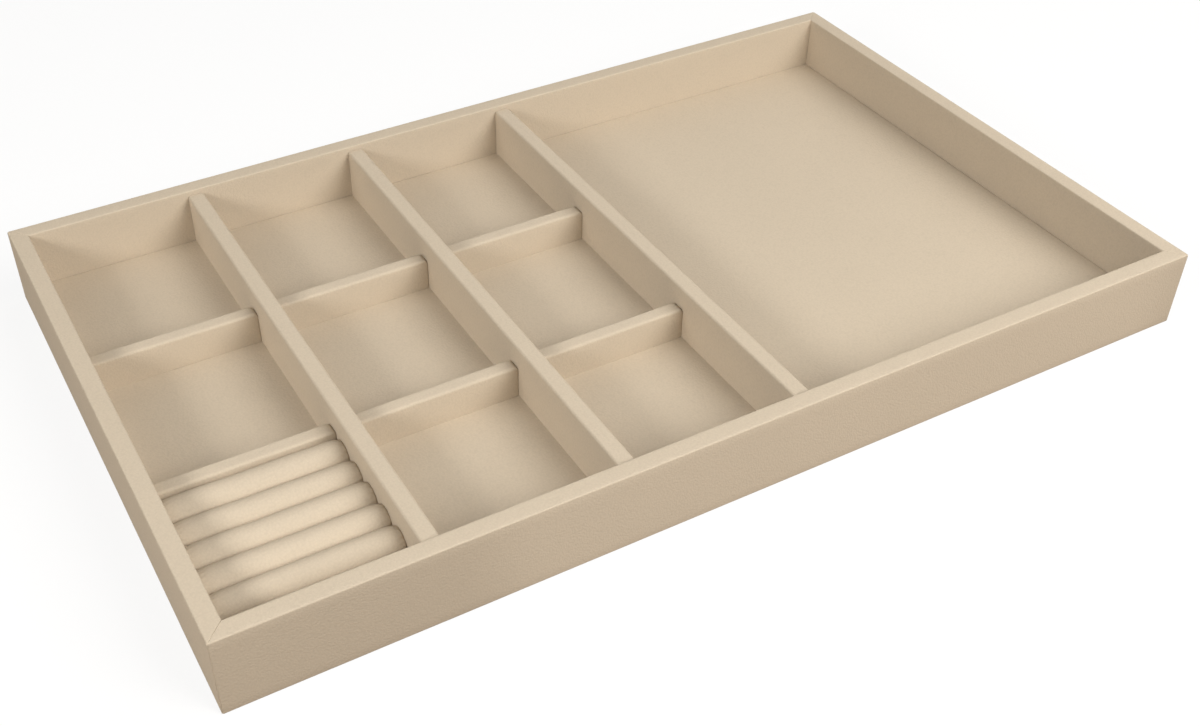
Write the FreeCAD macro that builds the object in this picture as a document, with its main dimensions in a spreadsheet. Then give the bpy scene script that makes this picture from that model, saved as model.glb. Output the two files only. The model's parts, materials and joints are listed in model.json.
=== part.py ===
import FreeCAD, Part
import math
import os
import Sketcher

# A leatherette-covered jewelry tray: four mitred walls, three long dividers, two
# lower cross dividers in each of the three columns, one large cell on the right and
# a lift-out block of padded ring rolls in the front-left cell.
# Millimetres. Origin at the middle of the underside, +X along the front from left
# to right, +Y towards the back, +Z up.

SIZES = (
    # Whole tray, outside
    ("tray_length", 530.0),
    ("tray_depth", 321.0),
    ("tray_height", 43.5),
    # Leatherette with its soft backing; bent over a board's edge, it rounds the edge by its thickness
    ("skin", 1.2),
    # Walls, covered
    ("wall_thickness", 9.3),
    ("mitre_gap", 0.1),
    # Floor, from the bottom up
    ("underside_thickness", 0.9),
    ("underside_inset", 3.0),
    ("base_thickness", 7.5),
    ("card_thickness", 2.0),
    ("floor_gap", 0.3),
    # Dividers, covered
    ("column_width", 86.3),
    ("long_thickness", 9.0),
    ("long_drop", 2.7),
    ("row_depth", 94.5),
    ("cross_thickness", 8.0),
    ("cross_height", 18.2),
    ("divider_gap", 0.2),
    # Ring-roll block
    ("block_gap", 0.7),
    ("block_board_thickness", 4.5),
    ("roll_gap", 0.2),
    ("foam_flat", 0.8),
)
COLUMN_NAMES = ("left", "middle", "right")
ROLL_COUNT = 6
# How far a cutting sketch reaches past the solid that it cuts
CUT_MARGIN = 2.0
# Two places closer than this are one place
NEAR = 1e-5

# Heights and lengths that several pieces share
HEM_TOP = "(Sizes.underside_thickness + Sizes.skin)"
BASE_TOP = "(Sizes.underside_thickness + Sizes.base_thickness)"
FLOOR_TOP = "(Sizes.underside_thickness + Sizes.base_thickness + Sizes.card_thickness + Sizes.skin)"
INNER_LENGTH = "(Sizes.tray_length - 2 * Sizes.wall_thickness)"
INNER_DEPTH = "(Sizes.tray_depth - 2 * Sizes.wall_thickness)"
INNER_LEFT = "(Sizes.wall_thickness - Sizes.tray_length / 2)"
INNER_FRONT = "(Sizes.wall_thickness - Sizes.tray_depth / 2)"
BOARD_INNER_FACE = "(Sizes.wall_thickness - Sizes.skin)"
COLUMN_PITCH = "(Sizes.column_width + Sizes.long_thickness)"
ROW_PITCH = "(Sizes.row_depth + Sizes.cross_thickness)"
BLOCK_LENGTH = "(Sizes.column_width - 2 * Sizes.block_gap)"
BLOCK_DEPTH = "(Sizes.row_depth - 2 * Sizes.block_gap)"
ROLL_PITCH = f"({BLOCK_DEPTH} / {ROLL_COUNT})"
ROLL_RADIUS = f"(({ROLL_PITCH} - Sizes.roll_gap) / 2)"
# A roll's end is rounded over this length, in two bevels whose shared corner lies on an arc
ROLL_END = "(2.5 * Sizes.skin)"
ROLL_END_MIDDLE = f"({1 - math.sqrt(0.5):.4f} * {ROLL_END})"
# From a roll's axis down to the flat that is glued to the backing board
ROLL_AXIS_RISE = f"({ROLL_RADIUS} - Sizes.skin - Sizes.foam_flat)"

doc = FreeCAD.newDocument("jewelry_tray")
sheet = doc.addObject("Spreadsheet::Sheet", "Sizes")
for row, (alias, value) in enumerate(SIZES, start=1):
    sheet.set(f"A{row}", alias)
    sheet.set(f"B{row}", str(value))
    sheet.setAlias(f"B{row}", alias)
doc.recompute()


def new_body(label):
    body = doc.addObject("PartDesign::Body", label)
    body.Label = label
    return body


def place(body, x="0", y="0", z="0", turn=0.0):
    """Stand a body at a place given by expressions, turned about the vertical."""
    body.Placement = FreeCAD.Placement(
        FreeCAD.Vector(), FreeCAD.Rotation(FreeCAD.Vector(0, 0, 1), turn))
    for axis, expression in zip("xyz", (x, y, z)):
        body.setExpression(f"Placement.Base.{axis}", expression)


def sketch_on(body, plane_role):
    sketch = body.newObject("Sketcher::SketchObject", "Sketch")
    plane = next(item for item in body.Origin.OriginFeatures if item.Role == plane_role)
    sketch.AttachmentSupport = [(plane, "")]
    sketch.MapMode = "FlatFace"
    return sketch


def bind(sketch, constraint, expression):
    index = sketch.addConstraint(constraint)
    sketch.setExpression(f"Constraints[{index}]", expression)


def draw_outline(sketch, corners):
    """Closed outline of straight sides, each corner's two distances from the origin bound."""
    count = len(corners)
    first_line = sketch.GeometryCount
    # A regular polygon to start from, which the bound distances then pull into shape
    start = []
    for number in range(count):
        angle = 2 * math.pi * (number + 0.5) / count + math.pi
        start.append(FreeCAD.Vector(math.cos(angle), math.sin(angle), 0))
    for number in range(count):
        sketch.addGeometry(Part.LineSegment(start[number], start[(number + 1) % count]))
    for number in range(count):
        line = first_line + number
        following = first_line + (number + 1) % count
        sketch.addConstraint(Sketcher.Constraint("Coincident", line, 2, following, 1))
    for number, (across, up) in enumerate(corners):
        line = first_line + number
        bind(sketch, Sketcher.Constraint("DistanceX", -1, 1, line, 1, start[number].x), across)
        bind(sketch, Sketcher.Constraint("DistanceY", -1, 1, line, 1, start[number].y), up)


def draw_rectangle(sketch, low, high):
    draw_outline(sketch, (low, (high[0], low[1]), high, (low[0], high[1])))


def draw_centred_rectangle(sketch, width, depth):
    draw_rectangle(sketch, (f"-{width} / 2", f"-{depth} / 2"), (f"{width} / 2", f"{depth} / 2"))


def pad(body, sketch, length, both_ways=False):
    feature = body.newObject("PartDesign::Pad", "Pad")
    feature.Profile = sketch
    feature.Midplane = both_ways
    feature.setExpression("Length", length)
    doc.recompute()
    return feature


def check_cut(body, before, after):
    if after.Shape.Volume >= before.Shape.Volume - NEAR:
        raise RuntimeError(f"{body.Label}: a cut took nothing away")


def cut_through(body, base, sketch):
    """Cut a sketch's areas right through the solid, both ways from the sketch."""
    feature = body.newObject("PartDesign::Pocket", "Pocket")
    feature.Profile = sketch
    feature.Type = "ThroughAll"
    feature.Midplane = True
    doc.recompute()
    check_cut(body, base, feature)
    return feature


def hollow_from_below(body, base, width, depth, height):
    """Take out the room for a board from the open foot up, leaving the skin."""
    room = sketch_on(body, "XY_Plane")
    draw_centred_rectangle(room, width, depth)
    feature = body.newObject("PartDesign::Pocket", "Pocket")
    feature.Profile = room
    feature.Reversed = True
    feature.setExpression("Length", height)
    doc.recompute()
    check_cut(body, base, feature)
    return feature


def bend_edges(body, base, chosen):
    """Round the edges that the test picks by their boxes, as leatherette bends over a board's edge."""
    names = []
    for number, edge in enumerate(base.Shape.Edges, start=1):
        if chosen(edge.BoundBox, base.Shape.BoundBox):
            names.append(f"Edge{number}")
    feature = body.newObject("PartDesign::Fillet", "Fillet")
    feature.Base = (base, names)
    feature.setExpression("Radius", "Sizes.skin")
    doc.recompute()
    return feature


def on_top(edge, solid):
    return edge.ZMin > solid.ZMax - NEAR


def upright_or_on_top(edge, solid):
    return edge.ZLength > solid.ZLength - NEAR or on_top(edge, solid)


def bent_over_wall(edge, solid):
    """The rim's two long edges and the outer edge at the wall's foot."""
    if edge.XLength < solid.XLength - NEAR:
        return False
    at_outer_foot = edge.ZMax < solid.ZMin + NEAR and edge.YMax < solid.YMin + NEAR
    return on_top(edge, solid) or at_outer_foot


def plain_panel(label, width, depth, thickness):
    body = new_body(label)
    plan = sketch_on(body, "XY_Plane")
    draw_centred_rectangle(plan, width, depth)
    pad(body, plan, thickness)
    return body


def wall_board(label, length):
    """Board inside a wall: X along the wall, Y from the outer face inwards."""
    body = new_body(label)
    plan = sketch_on(body, "XY_Plane")
    draw_rectangle(plan, (f"-{length} / 2", "Sizes.skin"), (f"{length} / 2", BOARD_INNER_FACE))
    pad(body, plan, f"Sizes.tray_height - Sizes.skin - {HEM_TOP}")
    return body


def wall_cover(label, length):
    """Leatherette round a wall: outer face, rim, inner face and the hem under the board."""
    body = new_body(label)
    rim = "Sizes.tray_height"
    under_rim = "(Sizes.tray_height - Sizes.skin)"
    foot = "Sizes.underside_thickness"
    section = sketch_on(body, "YZ_Plane")
    draw_outline(section, (
        (BOARD_INNER_FACE, foot),
        ("0", foot),
        ("0", rim),
        ("Sizes.wall_thickness", rim),
        ("Sizes.wall_thickness", BASE_TOP),
        (BOARD_INNER_FACE, BASE_TOP),
        (BOARD_INNER_FACE, under_rim),
        ("Sizes.skin", under_rim),
        ("Sizes.skin", HEM_TOP),
        (BOARD_INNER_FACE, HEM_TOP),
    ))
    wrap = pad(body, section, length, both_ways=True)
    wrap = bend_edges(body, wrap, bent_over_wall)
    mitres = sketch_on(body, "XY_Plane")
    for side in ("", "-"):
        # The slanted side of the cut runs from the outer corner of the tray to the inner one
        near_end = f"{side}({length} / 2 - Sizes.mitre_gap + {CUT_MARGIN})"
        far_end = f"{side}({length} / 2 - Sizes.mitre_gap - Sizes.wall_thickness - {CUT_MARGIN})"
        beyond = f"{side}({length} / 2 + {2 * CUT_MARGIN})"
        draw_outline(mitres, (
            (near_end, f"-{CUT_MARGIN}"),
            (beyond, f"-{CUT_MARGIN}"),
            (beyond, f"Sizes.wall_thickness + {CUT_MARGIN}"),
            (far_end, f"Sizes.wall_thickness + {CUT_MARGIN}"),
        ))
    cut_through(body, wrap, mitres)
    return body


def wrapped_board(board_label, cover_label, length, thickness, height, bent_edges):
    """A board standing on its foot and the leatherette drawn over it, both about one origin."""
    board_size = (
        f"({length} - 2 * Sizes.skin)",
        f"({thickness} - 2 * Sizes.skin)",
        f"({height} - Sizes.skin)",
    )
    board = plain_panel(board_label, *board_size)

    cover = new_body(cover_label)
    plan = sketch_on(cover, "XY_Plane")
    draw_centred_rectangle(plan, length, thickness)
    wrap = pad(cover, plan, height)
    wrap = bend_edges(cover, wrap, bent_edges)
    hollow_from_below(cover, wrap, *board_size)
    return board, cover


def turned(body, half_section):
    """Solid of revolution about X from half a lengthwise section."""
    sketch = sketch_on(body, "XZ_Plane")
    draw_outline(sketch, half_section)
    feature = body.newObject("PartDesign::Revolution", "Revolution")
    feature.Profile = sketch
    feature.ReferenceAxis = (sketch, ["H_Axis"])
    doc.recompute()
    return feature


def flatten_foot(body, roll):
    """Cut the flat by which a roll, its axis at the origin, is glued to the backing board."""
    section = sketch_on(body, "YZ_Plane")
    reach = f"({ROLL_RADIUS} + {CUT_MARGIN})"
    draw_rectangle(section, (f"-{reach}", f"-{reach}"), (reach, f"-{ROLL_AXIS_RISE}"))
    cut_through(body, roll, section)


def roll_foam(label):
    body = new_body(label)
    end = f"({BLOCK_LENGTH} / 2 - Sizes.skin)"
    side = f"({ROLL_RADIUS} - Sizes.skin)"
    roll = turned(body, ((f"-{end}", "0"), (end, "0"), (end, side), (f"-{end}", side)))
    flatten_foot(body, roll)
    return body


def roll_cover(label):
    """Leatherette drawn round the foam and gathered over its ends, open along the glued flat."""
    body = new_body(label)
    end = f"({BLOCK_LENGTH} / 2)"
    bevel = f"({end} - {ROLL_END_MIDDLE})"
    shoulder = f"({end} - {ROLL_END})"
    inner_end = f"({end} - Sizes.skin)"
    inner_side = f"({ROLL_RADIUS} - Sizes.skin)"
    end_side = f"({ROLL_RADIUS} - {ROLL_END})"
    bevel_side = f"({ROLL_RADIUS} - {ROLL_END_MIDDLE})"
    roll = turned(body, (
        (f"-{end}", "0"),
        (f"-{inner_end}", "0"),
        (f"-{inner_end}", inner_side),
        (inner_end, inner_side),
        (inner_end, "0"),
        (end, "0"),
        (end, end_side),
        (bevel, bevel_side),
        (shoulder, ROLL_RADIUS),
        (f"-{shoulder}", ROLL_RADIUS),
        (f"-{bevel}", bevel_side),
        (f"-{end}", end_side),
    ))
    flatten_foot(body, roll)
    return body


def build_base():
    sheet_body = plain_panel(
        "underside_sheet",
        "(Sizes.tray_length - 2 * Sizes.underside_inset)",
        "(Sizes.tray_depth - 2 * Sizes.underside_inset)",
        "Sizes.underside_thickness")
    place(sheet_body)
    board = plain_panel(
        "base_board",
        f"(Sizes.tray_length - 2 * {BOARD_INNER_FACE})",
        f"(Sizes.tray_depth - 2 * {BOARD_INNER_FACE})",
        "Sizes.base_thickness")
    place(board, z="Sizes.underside_thickness")
    return [sheet_body, board]


def build_walls():
    """Front and back boards run the whole length; the side boards stand between them."""
    long_board = "(Sizes.tray_length - 2 * Sizes.skin)"
    short_board = f"(Sizes.tray_depth - 2 * {BOARD_INNER_FACE})"
    sides = (
        ("front", long_board, "Sizes.tray_length", "0", "-Sizes.tray_depth / 2", 0.0),
        ("right", short_board, "Sizes.tray_depth", "Sizes.tray_length / 2", "0", 90.0),
        ("back", long_board, "Sizes.tray_length", "0", "Sizes.tray_depth / 2", 180.0),
        ("left", short_board, "Sizes.tray_depth", "-Sizes.tray_length / 2", "0", 270.0),
    )
    bodies = []
    for name, board_length, cover_length, x, y, turn in sides:
        board = wall_board(f"{name}_wall_board", board_length)
        place(board, x, y, HEM_TOP, turn)
        cover = wall_cover(f"{name}_wall_cover", cover_length)
        place(cover, x, y, "0", turn)
        bodies += [board, cover]
    return bodies


def build_floor():
    """The floor card lies on the base board, with its leatherette turned down round the edge."""
    pair = wrapped_board(
        "floor_card", "floor_liner",
        f"({INNER_LENGTH} - 2 * Sizes.floor_gap)",
        f"({INNER_DEPTH} - 2 * Sizes.floor_gap)",
        "(Sizes.card_thickness + Sizes.skin)",
        on_top)
    for body in pair:
        place(body, z=BASE_TOP)
    return list(pair)


def build_long_dividers():
    length = f"({INNER_DEPTH} - 2 * Sizes.divider_gap)"
    height = f"(Sizes.tray_height - Sizes.long_drop - {FLOOR_TOP})"
    bodies = []
    for number, name in enumerate(COLUMN_NAMES):
        pair = wrapped_board(
            f"{name}_long_divider_board", f"{name}_long_divider_cover",
            length, "Sizes.long_thickness", height, on_top)
        x = f"{INNER_LEFT} + {number} * {COLUMN_PITCH} + Sizes.column_width + Sizes.long_thickness / 2"
        for body in pair:
            place(body, x=x, z=FLOOR_TOP, turn=90.0)
        bodies += pair
    return bodies


def build_cross_dividers():
    length = "(Sizes.column_width - 2 * Sizes.divider_gap)"
    bodies = []
    for row_number, row_name in enumerate(("front", "rear")):
        y = f"{INNER_FRONT} + {row_number} * {ROW_PITCH} + Sizes.row_depth + Sizes.cross_thickness / 2"
        for number in range(len(COLUMN_NAMES)):
            pair = wrapped_board(
                f"{row_name}_cross_divider_board_{number + 1}",
                f"{row_name}_cross_divider_cover_{number + 1}",
                length, "Sizes.cross_thickness", "Sizes.cross_height", upright_or_on_top)
            x = f"{INNER_LEFT} + {number} * {COLUMN_PITCH} + Sizes.column_width / 2"
            for body in pair:
                place(body, x, y, FLOOR_TOP)
            bodies += pair
    return bodies


def build_ring_block():
    """Backing board that drops into the front-left cell, with the rolls side by side on it."""
    x = f"{INNER_LEFT} + Sizes.column_width / 2"
    board = plain_panel("ring_block_board", BLOCK_LENGTH, BLOCK_DEPTH, "Sizes.block_board_thickness")
    place(board, x, f"{INNER_FRONT} + Sizes.row_depth / 2", FLOOR_TOP)
    bodies = [board]
    z = f"{FLOOR_TOP} + Sizes.block_board_thickness + {ROLL_AXIS_RISE}"
    for number in range(ROLL_COUNT):
        y = f"{INNER_FRONT} + Sizes.block_gap + ({number} + 0.5) * {ROLL_PITCH}"
        foam = roll_foam(f"ring_roll_foam_{number + 1}")
        cover = roll_cover(f"ring_roll_cover_{number + 1}")
        for body in (foam, cover):
            place(body, x, y, z)
        bodies += [foam, cover]
    return bodies


def check_document():
    for item in doc.Objects:
        if "Invalid" in item.State or "Error" in item.State:
            raise RuntimeError(f"{item.Label} failed: {item.State}")


def check_solid(body):
    shape = body.Shape
    if shape.isNull() or not shape.isValid() or len(shape.Solids) != 1:
        raise RuntimeError(f"{body.Label} is not one valid solid")


parts = build_base() + build_walls() + build_floor()
parts += build_long_dividers() + build_cross_dividers() + build_ring_block()
doc.recompute()
check_document()
for part in parts:
    check_solid(part)

os.makedirs("parts", exist_ok=True)
for part in parts:
    part.Shape.exportStep(f"parts/{part.Label}.step")
print(len(parts), "pieces written")
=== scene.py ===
import json
import math

import bmesh
import bpy
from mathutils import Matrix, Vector, noise


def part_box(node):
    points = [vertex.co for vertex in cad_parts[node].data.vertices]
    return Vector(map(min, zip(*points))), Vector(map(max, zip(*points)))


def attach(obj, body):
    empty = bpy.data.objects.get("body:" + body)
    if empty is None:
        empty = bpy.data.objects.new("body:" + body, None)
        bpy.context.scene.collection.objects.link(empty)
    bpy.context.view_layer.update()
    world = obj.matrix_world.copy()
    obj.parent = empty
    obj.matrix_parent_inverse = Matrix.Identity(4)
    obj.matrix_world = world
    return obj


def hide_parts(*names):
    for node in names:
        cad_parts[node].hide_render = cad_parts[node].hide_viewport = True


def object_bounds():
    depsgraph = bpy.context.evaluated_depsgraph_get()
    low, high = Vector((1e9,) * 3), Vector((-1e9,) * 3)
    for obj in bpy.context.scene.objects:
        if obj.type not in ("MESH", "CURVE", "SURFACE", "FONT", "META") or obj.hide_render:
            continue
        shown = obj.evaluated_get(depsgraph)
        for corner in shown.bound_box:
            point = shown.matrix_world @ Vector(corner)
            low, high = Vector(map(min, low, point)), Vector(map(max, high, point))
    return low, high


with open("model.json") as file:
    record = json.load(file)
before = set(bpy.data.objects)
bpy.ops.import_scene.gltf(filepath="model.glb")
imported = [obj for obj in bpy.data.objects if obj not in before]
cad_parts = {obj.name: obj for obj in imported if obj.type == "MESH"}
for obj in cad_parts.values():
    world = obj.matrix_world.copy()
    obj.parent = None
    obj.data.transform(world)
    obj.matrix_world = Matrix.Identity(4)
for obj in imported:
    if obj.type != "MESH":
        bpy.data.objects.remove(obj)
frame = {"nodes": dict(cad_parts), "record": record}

# A jewelry tray wrapped in beige leatherette, with a lift-out block of padded ring rolls.
# Metres, in the frame of the solids: +X to the right, +Y to the back, +Z up.

CAD_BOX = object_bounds()
MM = 0.001

# Columns of small cells, each with two cross dividers
COLUMN_COUNT = 3

# Leatherette wraps, with the rounding of board edges, the rim, the tray's upright corners and inner folds
SKIN = 1.2 * MM
EDGE_RADIUS = 1.4 * MM
RIM_RADIUS = 0.8 * MM
CORNER_RADIUS = 1.1 * MM
CORNER_STEPS = 8
SHARP_RADIUS = 0.05 * MM
# Mitre seams of the rim: the rounding of their edges, and where across the rim the gap starts and is full
SEAM_RADIUS = 0.4 * MM
SEAM_START = 1.0 * MM
SEAM_FULL = 3.0 * MM
# Half the gap at the near corner and at the others, and how far back from the mitre the folds begin
NEAR_SEAM = 0.12 * MM
TIGHT_SEAM = 0.06 * MM
MITRE_START = 2.5 * MM
# Foot of the walls, where the wraps turn under as hems
FOOT_CLEAR = 0.15 * MM
FOOT_RADIUS = 0.6 * MM
FELT_CLEAR = 0.2 * MM
# How far a board's top rounds down at its ends, along and down, and how much it narrows with that
FLOOR_RADIUS = 0.4 * MM
FLOOR_END = (FLOOR_RADIUS, FLOOR_RADIUS)
LONG_END = (0.8 * MM, 0.8 * MM)
CROSS_END = (3.2 * MM, 1.5 * MM)
END_NARROWING = 0.2
# How far a wrap reaches past its solid towards the neighbours, along and across
DIVIDER_REACH = (0.14 * MM, 0.0)
FLOOR_REACH = (0.24 * MM, 0.24 * MM)
# Steps of the meshes: in a bend, along a piece, round a wall, and up a board's side and over its top
BEND_STEPS = 5
STATION_STEP = 6.0 * MM
HEM_STEPS = 2
OUTER_STEPS = 9
RIM_STEPS = 4
INNER_STEPS = 8
FLOOR_STEPS = (1, 40)
LONG_STEPS = (6, 4)
CROSS_STEPS = (4, 4)
# Slight hollows of leatherette glued over a board
WAVE_HEIGHT = 0.08 * MM
WAVE_LENGTH = 34.0 * MM

# Ring rolls: steps along, round and over the flat, then the edges and faces of the ends
ROLL_COUNT = 6
ROLL_STEP = 1.6 * MM
ROLL_ARC_STEPS = 54
ROLL_FLAT_STEPS = 8
ROLL_EDGE = 0.8 * MM
ROLL_EDGE_STEPS = 4
ROLL_FACE_STEPS = 4
# Height of the middle of an end's face, as a share of the roll's height
ROLL_POLE_HEIGHT = 0.42
# How full a roll is before it swells, as a share of its solid, and how that changes along it
ROLL_SLACK = 0.97
REAR_ROLL_SLACK = 1.02
ROLL_UNEVEN = 0.02
ROLL_WAVE_LENGTH = 16.0 * MM
ROLL_WAVE_SHIFT = 3.7
# How far a roll reaches past its solid at the ends, and half the gap between two rolls
ROLL_REACH = 0.65 * MM
ROLL_CLEARANCE = 0.04 * MM
# Pleats at the roll ends, deepest away from the end when the lean is below 1
PLEAT_COUNT = 21
PLEAT_DEPTH = 0.3 * MM
PLEAT_REACH = 5.0 * MM
PLEAT_LEAN = 0.7

# Swelling of the rolls as cloth, at a scale where the simulation is steady
SWELL_SCALE = 20.0
SWELL_PRESSURE = 60.0
SWELL_GROWTH = 0.006
SWELL_FRAMES = 20
SWELL_CAP = 0.9 * MM

SMOOTH_ANGLE = math.radians(42)

# Colours as they look in even light, red, green and blue from 0 to 1 on a screen
LEATHERETTE_COLOUR = (0.785, 0.732, 0.658)
FELT_COLOUR = (0.72, 0.65, 0.56)
BOARD_COLOUR = (0.62, 0.49, 0.35)
CARD_COLOUR = (0.60, 0.56, 0.50)

# Grain of the leatherette: scales for millimetres, the creases' part in the relief, and ranges of tone
PEBBLE_SCALE = 0.95
PEBBLE_SMOOTHNESS = 0.4
PEBBLE_TONES = (1.04, 0.945)
CREASE_SCALE = 2.0
CREASE_SHARE = 0.55
GRAIN_STRENGTH = 0.6
GRAIN_DEPTH = 0.16 * MM
DRIFT_SCALE = 0.035
DRIFT_TONES = (0.985, 1.015)
LEATHERETTE_ROUGHNESS = (0.68, 0.84)
LEATHERETTE_GLOSS = 0.02
# Felt, fibreboard and card: the size of a patch in fibres, roughness, relief and gloss
FIBRES_IN_PATCH = 14
FIBRE_ROUGHNESS = (0.82, 0.97)
FIBRE_STRENGTH = 0.5
FIBRE_GLOSS = 0.2

# Camera, fitted to the tray's edges in the photograph
CAMERA_PLACE = Vector((-328.9, -548.5, 486.2)) * MM
CAMERA_AIM = Vector((-39.1, -31.05, 0.0)) * MM
CAMERA_SENSOR = 36.0
CAMERA_LENS = 44.36
CAMERA_SHIFT = 0.037


def linear(screen_colour):
    """Screen colour as the shader's linear colour."""
    values = []
    for value in screen_colour:
        if value <= 0.04045:
            values.append(value / 12.92)
        else:
            values.append(((value + 0.055) / 1.055) ** 2.4)
    return values


# Materials

def new_material(name):
    material = bpy.data.materials.new(name)
    material.use_nodes = True
    tree = material.node_tree
    return material, tree, tree.nodes["Principled BSDF"]


def object_millimetres(tree):
    """Texture coordinates in millimetres, fixed to the piece."""
    place = tree.nodes.new("ShaderNodeTexCoord")
    scale = tree.nodes.new("ShaderNodeVectorMath")
    scale.operation = "SCALE"
    scale.inputs["Scale"].default_value = 1 / MM
    tree.links.new(place.outputs["Object"], scale.inputs[0])
    return scale.outputs[0]


def noise_texture(tree, place, scale, detail, roughness=0.5):
    texture = tree.nodes.new("ShaderNodeTexNoise")
    texture.inputs["Scale"].default_value = scale
    texture.inputs["Detail"].default_value = detail
    texture.inputs["Roughness"].default_value = roughness
    tree.links.new(place, texture.inputs["Vector"])
    return texture.outputs["Fac"]


def pebble_texture(tree, place, scale, smoothness):
    """Distance from the middle of the nearest pebble."""
    texture = tree.nodes.new("ShaderNodeTexVoronoi")
    texture.feature = "SMOOTH_F1"
    texture.inputs["Scale"].default_value = scale
    texture.inputs["Smoothness"].default_value = smoothness
    tree.links.new(place, texture.inputs["Vector"])
    return texture.outputs["Distance"]


def calculate(tree, operation, first, second):
    node = tree.nodes.new("ShaderNodeMath")
    node.operation = operation
    for socket, value in zip(node.inputs, (first, second)):
        if isinstance(value, float):
            socket.default_value = value
        else:
            tree.links.new(value, socket)
    return node.outputs[0]


def spread(tree, value, low, high):
    """A value from 0 to 1 spread between low and high."""
    node = tree.nodes.new("ShaderNodeMapRange")
    node.inputs["To Min"].default_value = low
    node.inputs["To Max"].default_value = high
    tree.links.new(value, node.inputs["Value"])
    return node.outputs[0]


def tint(tree, shader, colour, factor):
    """The colour, made lighter or darker by a factor that changes over the surface."""
    node = tree.nodes.new("ShaderNodeVectorMath")
    node.operation = "SCALE"
    node.inputs[0].default_value = linear(colour)
    tree.links.new(factor, node.inputs["Scale"])
    tree.links.new(node.outputs[0], shader.inputs["Base Color"])


def bump(tree, shader, height, strength, distance):
    node = tree.nodes.new("ShaderNodeBump")
    node.inputs["Strength"].default_value = strength
    node.inputs["Distance"].default_value = distance
    tree.links.new(height, node.inputs["Height"])
    tree.links.new(node.outputs["Normal"], shader.inputs["Normal"])


def leatherette():
    """Satin leatherette: pebbles of about a millimetre, finer creases, a slow drift of tone."""
    material, tree, shader = new_material("leatherette")
    place = object_millimetres(tree)
    pebbles = pebble_texture(tree, place, PEBBLE_SCALE, PEBBLE_SMOOTHNESS)
    creases = noise_texture(tree, place, CREASE_SCALE, detail=3.0, roughness=0.6)
    height = calculate(tree, "SUBTRACT", calculate(tree, "MULTIPLY", creases, CREASE_SHARE), pebbles)
    bump(tree, shader, height, GRAIN_STRENGTH, GRAIN_DEPTH)
    drift = spread(tree, noise_texture(tree, place, DRIFT_SCALE, detail=2.0), *DRIFT_TONES)
    valley = spread(tree, pebbles, *PEBBLE_TONES)
    tint(tree, shader, LEATHERETTE_COLOUR, calculate(tree, "MULTIPLY", drift, valley))
    tree.links.new(spread(tree, creases, *LEATHERETTE_ROUGHNESS), shader.inputs["Roughness"])
    shader.inputs["Specular IOR Level"].default_value = LEATHERETTE_GLOSS
    return material


def fibre_material(name, colour, scale, contrast, bump_height):
    """Matte stuff of short fibres, as felt, fibreboard and card are."""
    material, tree, shader = new_material(name)
    place = object_millimetres(tree)
    fibres = noise_texture(tree, place, scale, detail=5.0, roughness=0.7)
    patches = noise_texture(tree, place, scale / FIBRES_IN_PATCH, detail=2.0)
    mean = calculate(tree, "MULTIPLY", calculate(tree, "ADD", fibres, patches), 0.5)
    tint(tree, shader, colour, spread(tree, mean, 1 - contrast, 1 + contrast))
    tree.links.new(spread(tree, fibres, *FIBRE_ROUGHNESS), shader.inputs["Roughness"])
    bump(tree, shader, fibres, FIBRE_STRENGTH, bump_height)
    shader.inputs["Specular IOR Level"].default_value = FIBRE_GLOSS
    return material


# Meshes

def make_piece(name, rows, faces, material, body):
    """A mesh piece, from rows of points, that rides on a body."""
    mesh = bpy.data.meshes.new(name)
    mesh.from_pydata([point for row in rows for point in row], [], faces)
    cleaner = bmesh.new()
    cleaner.from_mesh(mesh)
    bmesh.ops.recalc_face_normals(cleaner, faces=cleaner.faces)
    cleaner.to_mesh(mesh)
    cleaner.free()
    mesh.shade_smooth()
    mesh.set_sharp_from_angle(angle=SMOOTH_ANGLE)
    mesh.materials.append(material)
    piece = bpy.data.objects.new(name, mesh)
    bpy.context.scene.collection.objects.link(piece)
    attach(piece, body)
    return piece


def uneven(piece, first, last):
    """Give a run of a piece's points the slight hollows of leatherette glued over a board."""
    for vertex in piece.data.vertices[first:last]:
        hollow = 0.5 - 0.5 * noise.noise(vertex.co / WAVE_LENGTH)
        vertex.co -= vertex.normal * (WAVE_HEIGHT * hollow)


def spaced(low, high, step):
    """Places from low to high about a step apart, both ends among them."""
    count = max(1, round((high - low) / step))
    return [low + (high - low) * number / count for number in range(count + 1)]


def turn(degrees, steps=BEND_STEPS):
    """Angles in radians from none to a turn, in even steps."""
    return [math.radians(degrees * number / steps) for number in range(steps + 1)]


def bend(middle, radius, start):
    """A quarter of a circle in a section, from an angle in degrees, turning clockwise."""
    points = []
    for angle in turn(90):
        at = math.radians(start) - angle
        points.append((middle[0] + radius * math.cos(at), middle[1] + radius * math.sin(at)))
    return points


def section(*stretches):
    """Bends and corners, each after the number of steps in the straight stretch that leads to it."""
    points = list(stretches[0])
    for steps, stretch in zip(stretches[1::2], stretches[2::2]):
        start = points[-1]
        for number in range(1, steps):
            share = number / steps
            points.append(tuple(a + (b - a) * share for a, b in zip(start, stretch[0])))
        points += stretch
    return points


def number_rows(rows, start=0):
    """Vertex numbers of rows of points that are listed one after another."""
    numbered = []
    for row in rows:
        numbered.append(list(range(start, start + len(row))))
        start += len(row)
    return numbered


def strips(numbered, closed=False):
    """Quads between each two neighbouring rows of vertex numbers."""
    faces = []
    for first, second in zip(numbered, numbered[1:]):
        count = len(first)
        for number in range(count if closed else count - 1):
            following = (number + 1) % count
            faces.append((first[number], first[following], second[following], second[number]))
    return faces


# Pieces

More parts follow.
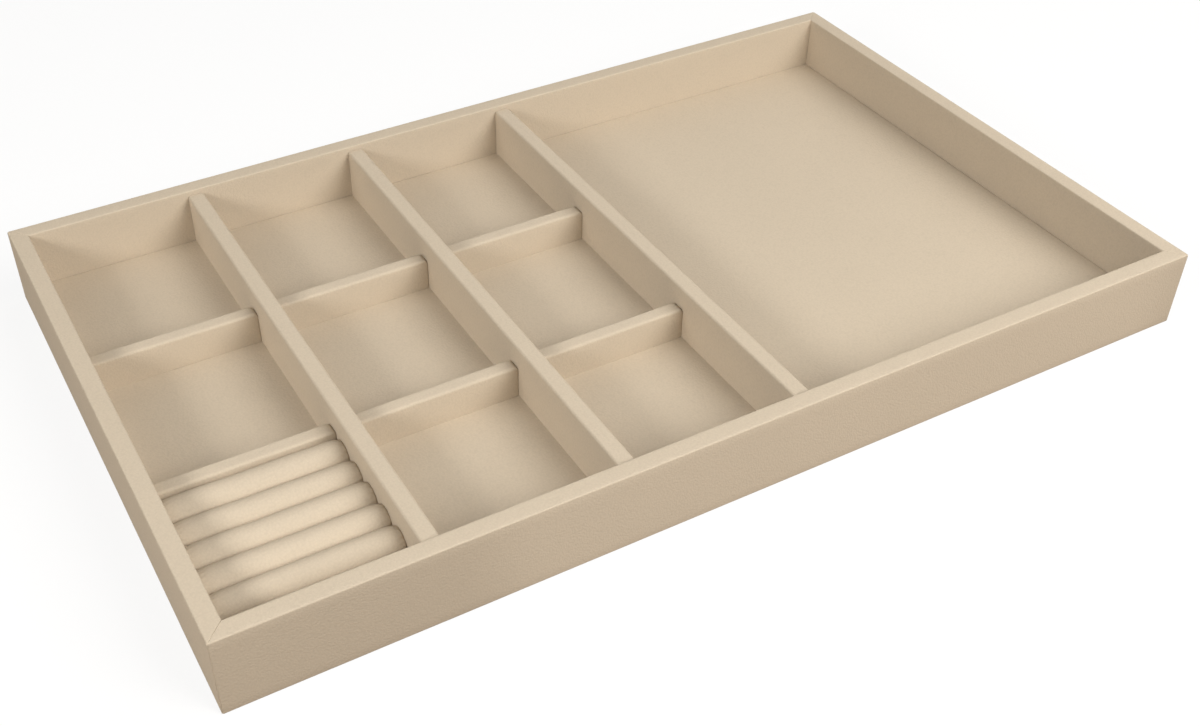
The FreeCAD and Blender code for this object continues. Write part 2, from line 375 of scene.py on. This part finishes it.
def wall_cover(side, along, inward, seams, material):
    """Mitred wrap round a wall: hem, outer face, rim and inner face, folded in at the rim's mitres."""
    node = f"{side}_wall_cover"
    low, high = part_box(node)
    outer = Vector((0, 0, 0))
    for axis in range(2):
        if inward[axis]:
            outer[axis] = low[axis] if inward[axis] > 0 else high[axis]
    thickness = abs((high - low).dot(inward))
    half = abs((CAD_BOX[1] - CAD_BOX[0]).dot(along)) / 2
    foot, rim = low.z, high.z
    felt_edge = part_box("underside_sheet")[0].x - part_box("left_wall_cover")[0].x
    leaf_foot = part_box("floor_liner")[0].z
    inside = thickness - SKIN

    def cut(inset, dip):
        """The wrap's section, its outer face drawn in by an inset and its rim by a dip."""
        top = rim - dip
        return section(
            [(inside, foot)],
            HEM_STEPS, [(felt_edge - FELT_CLEAR, foot)],
            HEM_STEPS, bend((inset + FOOT_RADIUS, FOOT_CLEAR + FOOT_RADIUS), FOOT_RADIUS, 270),
            OUTER_STEPS, bend((inset + RIM_RADIUS, top - RIM_RADIUS), RIM_RADIUS, 180),
            RIM_STEPS, bend((thickness - RIM_RADIUS, top - RIM_RADIUS), RIM_RADIUS, 90),
            INNER_STEPS, [(thickness, leaf_foot)],
            1, [(inside, leaf_foot)],
            1, [(inside, rim - SKIN)],
            1, [(SKIN, rim - SKIN)],
            1, [(SKIN, foot + SKIN)],
            1, [(inside, foot + SKIN)],
        )

    def row(inset, dip, place_at):
        points = []
        for across, up in cut(inset, dip):
            points.append(outer + along * place_at(across) + inward * across + Vector((0, 0, up)))
        return points

    def seam(across, opening):
        """Half the seam's gap, closed at the outer corner and open further in."""
        share = min(max((across - SEAM_START) / (SEAM_FULL - SEAM_START), 0.0), 1.0)
        return opening * share

    # Distance back from the mitre, with what the outer corner and the rim's seam draw in there
    fold = [(MITRE_START, 0.0, 0.0)]
    for angle in turn(45, CORNER_STEPS):
        back = CORNER_RADIUS * (math.sin(math.pi / 4) - math.sin(angle))
        inset = CORNER_RADIUS * (1 - math.cos(angle))
        lean = max(math.sin(math.pi / 4) - back / SEAM_RADIUS, 0.0)
        dip = SEAM_RADIUS * (1 - math.sqrt(1 - lean ** 2))
        fold.append((back, inset, dip))
    straight = half - thickness - 2 * MITRE_START
    rows = []
    for back, inset, dip in reversed(fold):
        rows.append(row(inset, dip, lambda across: across + back + seam(across, seams[0]) - half))
    for place in spaced(-straight, straight, STATION_STEP):
        rows.append(row(0.0, 0.0, lambda across: place))
    for back, inset, dip in fold:
        rows.append(row(inset, dip, lambda across: half - across - back - seam(across, seams[1])))

    numbered = number_rows(rows)
    faces = strips(numbered, closed=True) + [numbered[0], numbered[-1]]
    piece = make_piece(f"{side}_wall_wrap", rows, faces, material, "tray")
    folded = len(fold) * len(rows[0])
    uneven(piece, folded, -folded)
    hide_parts(node)


def capped_section(half_width, height, radius, side_steps, top_steps):
    """Open section of a wrap over a board: up one side, over the top and down the other."""
    return section(
        [(-half_width, 0.0)],
        side_steps, bend((radius - half_width, height - radius), radius, 180),
        top_steps, bend((half_width - radius, height - radius), radius, 90),
        side_steps, [(half_width, 0.0)],
    )


def wrapped_board(name, node, along_y, reach, edge_radius, end, steps, material):
    """Hollow wrap over a board, open at its foot, its top rounded down at the ends."""
    low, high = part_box(node)
    middle = (low + high) / 2
    size = high - low
    length, width = (size.y, size.x) if along_y else (size.x, size.y)
    half, half_width = length / 2 + reach[0], width / 2 + reach[1]
    end_length, end_drop = end

    def stand(place, across, up):
        flat = (across, place) if along_y else (place, across)
        return Vector((middle.x + flat[0], middle.y + flat[1], low.z + up))

    ends = []
    for angle in turn(90):
        ends.append((half - end_length * (1 - math.sin(angle)), end_drop * (1 - math.cos(angle))))
    straight = spaced(end_length - half, half - end_length, STATION_STEP)
    stations = [(-place, inset) for place, inset in reversed(ends)]
    stations += [(place, 0.0) for place in straight[1:-1]]
    stations += ends

    outer = []
    inner = []
    core = capped_section(half_width - SKIN, size.z - SKIN, SHARP_RADIUS, *steps)
    for place, inset in stations:
        narrowing = END_NARROWING * inset
        radius = max(edge_radius - narrowing, SHARP_RADIUS)
        skin = capped_section(half_width - narrowing, size.z - inset, radius, *steps)
        outer.append([stand(place, across, up) for across, up in skin])
        inner.append([stand(place * (half - SKIN) / half, across, up) for across, up in core])

    outer_numbers = number_rows(outer)
    inner_numbers = number_rows(inner, sum(len(points) for points in outer))
    faces = strips(outer_numbers) + strips(inner_numbers)
    faces += [outer_numbers[0], outer_numbers[-1], inner_numbers[0], inner_numbers[-1]]
    # The cut edge of the wrap along its foot
    for edge in (0, -1):
        outer_foot = [numbers[edge] for numbers in outer_numbers]
        inner_foot = [numbers[edge] for numbers in inner_numbers]
        faces += strips([outer_foot, inner_foot])
    for tip in (0, -1):
        outer_end, inner_end = outer_numbers[tip], inner_numbers[tip]
        faces.append((outer_end[0], outer_end[-1], inner_end[-1], inner_end[0]))

    piece = make_piece(name, outer + inner, faces, material, "tray")
    uneven(piece, 0, sum(len(points) for points in outer))
    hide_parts(node)


def roll_section(radius, rise):
    """Closed section of a roll about the middle of its glued flat: the flat, then the round."""
    half_flat = math.sqrt(radius ** 2 - rise ** 2)
    points = []
    for number in range(ROLL_FLAT_STEPS):
        points.append((half_flat * (2 * number / ROLL_FLAT_STEPS - 1), 0.0))
    start = -math.asin(rise / radius)
    sweep = math.pi - 2 * start
    for number in range(ROLL_ARC_STEPS):
        angle = start + sweep * number / ROLL_ARC_STEPS
        points.append((radius * math.cos(angle), rise + radius * math.sin(angle)))
    return points


def swell(piece, glued):
    """Fill a padded piece by cloth simulation. Glued points stay, and none moves beyond the cap."""
    scene = bpy.context.scene
    start = [vertex.co.copy() for vertex in piece.data.vertices]
    middle = sum(start, Vector()) / len(start)
    mesh = piece.data.copy()
    for vertex in mesh.vertices:
        vertex.co = (vertex.co - middle) * SWELL_SCALE
    cloth_piece = bpy.data.objects.new(f"{piece.name}_cloth", mesh)
    scene.collection.objects.link(cloth_piece)
    cloth_piece.vertex_groups.new(name="glued").add(glued, 1.0, "REPLACE")
    cloth = cloth_piece.modifiers.new("Cloth", "CLOTH")
    cloth.settings.quality = 5
    cloth.settings.mass = 0.02
    cloth.settings.tension_stiffness = 5.0
    cloth.settings.compression_stiffness = 5.0
    cloth.settings.shear_stiffness = 2.5
    cloth.settings.bending_stiffness = 0.5
    cloth.settings.shrink_min = -SWELL_GROWTH
    cloth.settings.vertex_group_mass = "glued"
    cloth.settings.use_pressure = True
    cloth.settings.uniform_pressure_force = SWELL_PRESSURE
    cloth.settings.effector_weights.gravity = 0.0
    cloth.collision_settings.use_collision = False
    cloth.point_cache.frame_start = 1
    cloth.point_cache.frame_end = SWELL_FRAMES
    for number in range(1, SWELL_FRAMES + 1):
        scene.frame_set(number)
    swollen = cloth_piece.evaluated_get(bpy.context.evaluated_depsgraph_get()).data
    for vertex, first, last in zip(piece.data.vertices, start, swollen.vertices):
        shift = last.co / SWELL_SCALE + middle - first
        if shift.length > SWELL_CAP:
            shift *= SWELL_CAP / shift.length
        vertex.co = first + shift
    bpy.data.objects.remove(cloth_piece)
    bpy.data.meshes.remove(mesh)
    scene.frame_set(1)


def ring_roll(number, pitch, material):
    """Padded roll: a round of leatherette over foam, with a flat face and a rounded edge at each end."""
    node = f"ring_roll_cover_{number}"
    low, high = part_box(node)
    middle = (low + high) / 2
    half = (high.x - low.x) / 2 + ROLL_REACH
    radius = (high.y - low.y) / 2
    height = high.z - low.z
    around = roll_section(radius, height - radius)
    fill = REAR_ROLL_SLACK if number == ROLL_COUNT else ROLL_SLACK
    pole = ROLL_POLE_HEIGHT * height

    # Stations of an end with their shares of the whole section: the flat face, then its edge
    edge = ROLL_EDGE / radius
    ends = [(half, (1 - edge) * step / ROLL_FACE_STEPS) for step in range(1, ROLL_FACE_STEPS)]
    for angle in turn(90, ROLL_EDGE_STEPS):
        ends.append((half - ROLL_EDGE * (1 - math.cos(angle)), 1 - edge * (1 - math.sin(angle))))
    straight = spaced(ROLL_EDGE - half, half - ROLL_EDGE, ROLL_STEP)
    stations = [(-place, fullness) for place, fullness in ends]
    stations += [(place, 1.0) for place in straight[1:-1]]
    stations += reversed(ends)

    rows = [[Vector((middle.x - half, middle.y, low.z + pole))]]
    glued = []
    for place, fullness in stations:
        if fullness == 1.0:
            first = 1 + len(around) * (len(rows) - 1)
            glued += range(first, first + ROLL_FLAT_STEPS + 1)
        row = []
        wave = noise.noise(Vector((place / ROLL_WAVE_LENGTH, ROLL_WAVE_SHIFT * number, 0.0)))
        for across, up in around:
            slack = fill * (1 + ROLL_UNEVEN * wave) if up > 0 else 1.0
            row.append(Vector((middle.x + place,
                               middle.y + across * fullness * slack,
                               low.z + pole + (up * slack - pole) * fullness)))
        rows.append(row)
    rows.append([Vector((middle.x + half, middle.y, low.z + pole))])

    numbered = number_rows(rows)
    faces = strips(numbered[1:-1], closed=True)
    for tip, ring in ((numbered[0], numbered[1]), (numbered[-1], numbered[-2])):
        for first, second in zip(ring, ring[1:] + ring[:1]):
            faces.append((first, second, tip[0]))
    piece = make_piece(f"ring_roll_{number}", rows, faces, material, "ring_block")
    swell(piece, glued)
    # Neighbouring rolls press each other flat where they would meet, and the ends are gathered in pleats
    widest = pitch / 2 - ROLL_CLEARANCE
    axis = Vector((0.0, middle.y, high.z - radius))
    for vertex in piece.data.vertices:
        outward = Vector((0.0, vertex.co.y, vertex.co.z)) - axis
        share = max(1 - (half - abs(vertex.co.x - middle.x)) / PLEAT_REACH, 0.0)
        fold = 0.5 + 0.5 * math.cos(PLEAT_COUNT * math.atan2(outward.z, outward.y) + number)
        vertex.co -= outward.normalized() * (PLEAT_DEPTH * fold * math.sin(math.pi * share ** PLEAT_LEAN))
        vertex.co.y = min(max(vertex.co.y, middle.y - widest), middle.y + widest)
        vertex.co.x = min(max(vertex.co.x, middle.x - half), middle.x + half)
        vertex.co.z = max(vertex.co.z, low.z)
    piece.modifiers.new("round", "SUBSURF").levels = 1
    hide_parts(node, f"ring_roll_foam_{number}")


def underside_felt(material):
    """Felt sheet glued over the turned-in hems."""
    low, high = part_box("underside_sheet")
    across = spaced(low.x, high.x, STATION_STEP)
    rows = []
    for level in (low.z, high.z):
        for y in spaced(low.y, high.y, STATION_STEP):
            rows.append([Vector((x, y, level)) for x in across])
    numbered = number_rows(rows)
    count = len(rows) // 2
    under, over = numbered[:count], numbered[count:]
    faces = strips(under) + strips(over) + strips([under[0], over[0]]) + strips([under[-1], over[-1]])
    for edge in (0, -1):
        faces += strips([[row[edge] for row in under], [row[edge] for row in over]])
    piece = make_piece("underside_felt", rows, faces, material, "tray")
    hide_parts("underside_sheet")


def dress_solids(materials):
    """Materials for the solids that stay as they are: boards and the floor card."""
    slots = {part["node"]: part["material_slot"] for part in frame["record"]["subparts"]}
    for name, solid in frame["nodes"].items():
        if slots[name] in materials:
            solid.data.materials.clear()
            solid.data.materials.append(materials[slots[name]])


def build_object():
    leather = leatherette()
    felt = fibre_material("felt", FELT_COLOUR, scale=1.6, contrast=0.16, bump_height=0.25 * MM)
    board = fibre_material("board", BOARD_COLOUR, scale=1.1, contrast=0.14, bump_height=0.06 * MM)
    card = fibre_material("card", CARD_COLOUR, scale=0.9, contrast=0.10, bump_height=0.05 * MM)

    right, back = Vector((1, 0, 0)), Vector((0, 1, 0))
    wall_cover("front", right, back, (NEAR_SEAM, TIGHT_SEAM), leather)
    wall_cover("right", back, -right, (TIGHT_SEAM, TIGHT_SEAM), leather)
    wall_cover("back", -right, -back, (TIGHT_SEAM, TIGHT_SEAM), leather)
    wall_cover("left", -back, right, (TIGHT_SEAM, NEAR_SEAM), leather)
    wrapped_board("floor_wrap", "floor_liner", along_y=False, reach=FLOOR_REACH,
                  edge_radius=FLOOR_RADIUS, end=FLOOR_END, steps=FLOOR_STEPS, material=leather)
    for name in ("left", "middle", "right"):
        wrapped_board(f"{name}_long_wrap", f"{name}_long_divider_cover", along_y=True, reach=DIVIDER_REACH,
                      edge_radius=EDGE_RADIUS, end=LONG_END, steps=LONG_STEPS, material=leather)
    for name in ("front", "rear"):
        for number in range(1, COLUMN_COUNT + 1):
            wrapped_board(f"{name}_cross_wrap_{number}", f"{name}_cross_divider_cover_{number}",
                          along_y=False, reach=DIVIDER_REACH,
                          edge_radius=EDGE_RADIUS, end=CROSS_END, steps=CROSS_STEPS, material=leather)
    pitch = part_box("ring_roll_cover_2")[0].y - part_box("ring_roll_cover_1")[0].y
    for number in range(1, ROLL_COUNT + 1):
        ring_roll(number, pitch, leather)
    underside_felt(felt)
    dress_solids({"board": board, "card": card})


# Stage, light and camera

# The floor looks white, mostly by a glow of its own, and gives back only a little warm light
FLOOR_SIZE = 8.0
FLOOR_WHITE = 0.98
FLOOR_GLOW = 0.85
FLOOR_BOUNCE = (0.12, 0.06, 0.01)
WORLD_WHITE = 1.0
WORLD_LIGHT = 0.0
LAMP_COLOUR = (1.0, 0.975, 0.928)
# Name, degrees round from the right towards the back, degrees up, distance, width, power
LAMPS = (
    ("front", 293, 38, 1.8, 0.9, 22.0),
    ("front_high", 300, 65, 1.6, 0.75, 5.3),
    ("front_right", 332, 40, 1.6, 0.8, 5.7),
    ("left_front", 205, 29, 1.7, 0.4, 12.9),
    ("left_high", 160, 40, 1.6, 0.9, 4.7),
    ("back_right", 45, 30, 2.0, 1.1, 8.2),
)
# Low spots for the outer faces, of which the front one misses the left end
# Name, place, aim, beam in degrees, softness of the beam's edge, power
SPOT_RADIUS = 0.02
SPOTS = (
    ("front_spot", Vector((0.06, -1.06, 0.03)), Vector((0.06, 0.0, 0.02)), 25.7, 0.15, 3.6),
    ("left_spot", Vector((-1.2, 0.0, 0.03)), Vector((0.0, 0.0, 0.02)), 26.0, 0.3, 3.1),
)


def light_path_mix(tree, seen, unseen, target):
    """One shader where the camera or a mirror looks at it, another for the light that it gives back."""
    path = tree.nodes.new("ShaderNodeLightPath").outputs
    mirrors = calculate(tree, "MAXIMUM", path["Is Glossy Ray"], path["Is Transmission Ray"])
    looks = calculate(tree, "MAXIMUM", path["Is Camera Ray"], mirrors)
    mix = tree.nodes.new("ShaderNodeMixShader")
    tree.links.new(looks, mix.inputs["Fac"])
    tree.links.new(unseen, mix.inputs[1])
    tree.links.new(seen, mix.inputs[2])
    tree.links.new(mix.outputs[0], target)


def diffuse(tree, colour):
    node = tree.nodes.new("ShaderNodeBsdfDiffuse")
    node.inputs["Color"].default_value = (*colour, 1.0)
    return node.outputs[0]


def background(tree, strength):
    node = tree.nodes.new("ShaderNodeBackground")
    node.inputs["Color"].default_value = (1.0, 1.0, 1.0, 1.0)
    node.inputs["Strength"].default_value = strength
    return node.outputs[0]


def build_floor():
    bpy.ops.mesh.primitive_plane_add(size=FLOOR_SIZE, location=(0.0, 0.0, CAD_BOX[0].z))
    floor = bpy.context.object
    floor.name = "studio_floor"
    material, tree, shader = new_material("studio_floor")
    tree.nodes.remove(shader)
    glow = tree.nodes.new("ShaderNodeEmission")
    seen = tree.nodes.new("ShaderNodeMixShader")
    seen.inputs["Fac"].default_value = FLOOR_GLOW
    tree.links.new(diffuse(tree, (FLOOR_WHITE,) * 3), seen.inputs[1])
    tree.links.new(glow.outputs[0], seen.inputs[2])
    light_path_mix(tree, seen.outputs[0], diffuse(tree, FLOOR_BOUNCE),
                   tree.nodes["Material Output"].inputs["Surface"])
    floor.data.materials.append(material)


def hang(lamp, place, aim):
    """Put a lamp at a place, turned to what it lights and not seen itself."""
    holder = bpy.data.objects.new(lamp.name, lamp)
    holder.location = place
    holder.rotation_euler = (aim - place).to_track_quat("-Z", "Y").to_euler()
    holder.visible_camera = False
    bpy.context.scene.collection.objects.link(holder)


def build_light():
    world = bpy.data.worlds.new("studio")
    bpy.context.scene.world = world
    world.use_nodes = True
    tree = world.node_tree
    tree.nodes.remove(tree.nodes["Background"])
    light_path_mix(tree, background(tree, WORLD_WHITE), background(tree, WORLD_LIGHT),
                   tree.nodes["World Output"].inputs["Surface"])
    for name, bearing, elevation, distance, width, power in LAMPS:
        lamp = bpy.data.lights.new(name, "AREA")
        lamp.shape = "SQUARE"
        lamp.size = width
        lamp.energy = power
        lamp.color = LAMP_COLOUR
        round_by, up_by = math.radians(bearing), math.radians(elevation)
        flat = distance * math.cos(up_by)
        place = Vector((flat * math.cos(round_by), flat * math.sin(round_by), distance * math.sin(up_by)))
        hang(lamp, place, Vector())
    for name, place, aim, beam, softness, power in SPOTS:
        lamp = bpy.data.lights.new(name, "SPOT")
        lamp.spot_size = math.radians(beam)
        lamp.spot_blend = softness
        lamp.shadow_soft_size = SPOT_RADIUS
        lamp.energy = power
        lamp.color = LAMP_COLOUR
        hang(lamp, place, aim)


def build_camera():
    camera = bpy.data.cameras.new("camera")
    camera.sensor_width = CAMERA_SENSOR
    camera.lens = CAMERA_LENS
    camera.shift_x = CAMERA_SHIFT
    holder = bpy.data.objects.new("camera", camera)
    holder.location = CAMERA_PLACE
    holder.rotation_euler = (CAMERA_AIM - CAMERA_PLACE).to_track_quat("-Z", "Y").to_euler()
    bpy.context.scene.collection.objects.link(holder)
    bpy.context.scene.camera = holder


build_object()
build_floor()
build_light()
build_camera()
bpy.context.scene.view_settings.view_transform = "Standard"
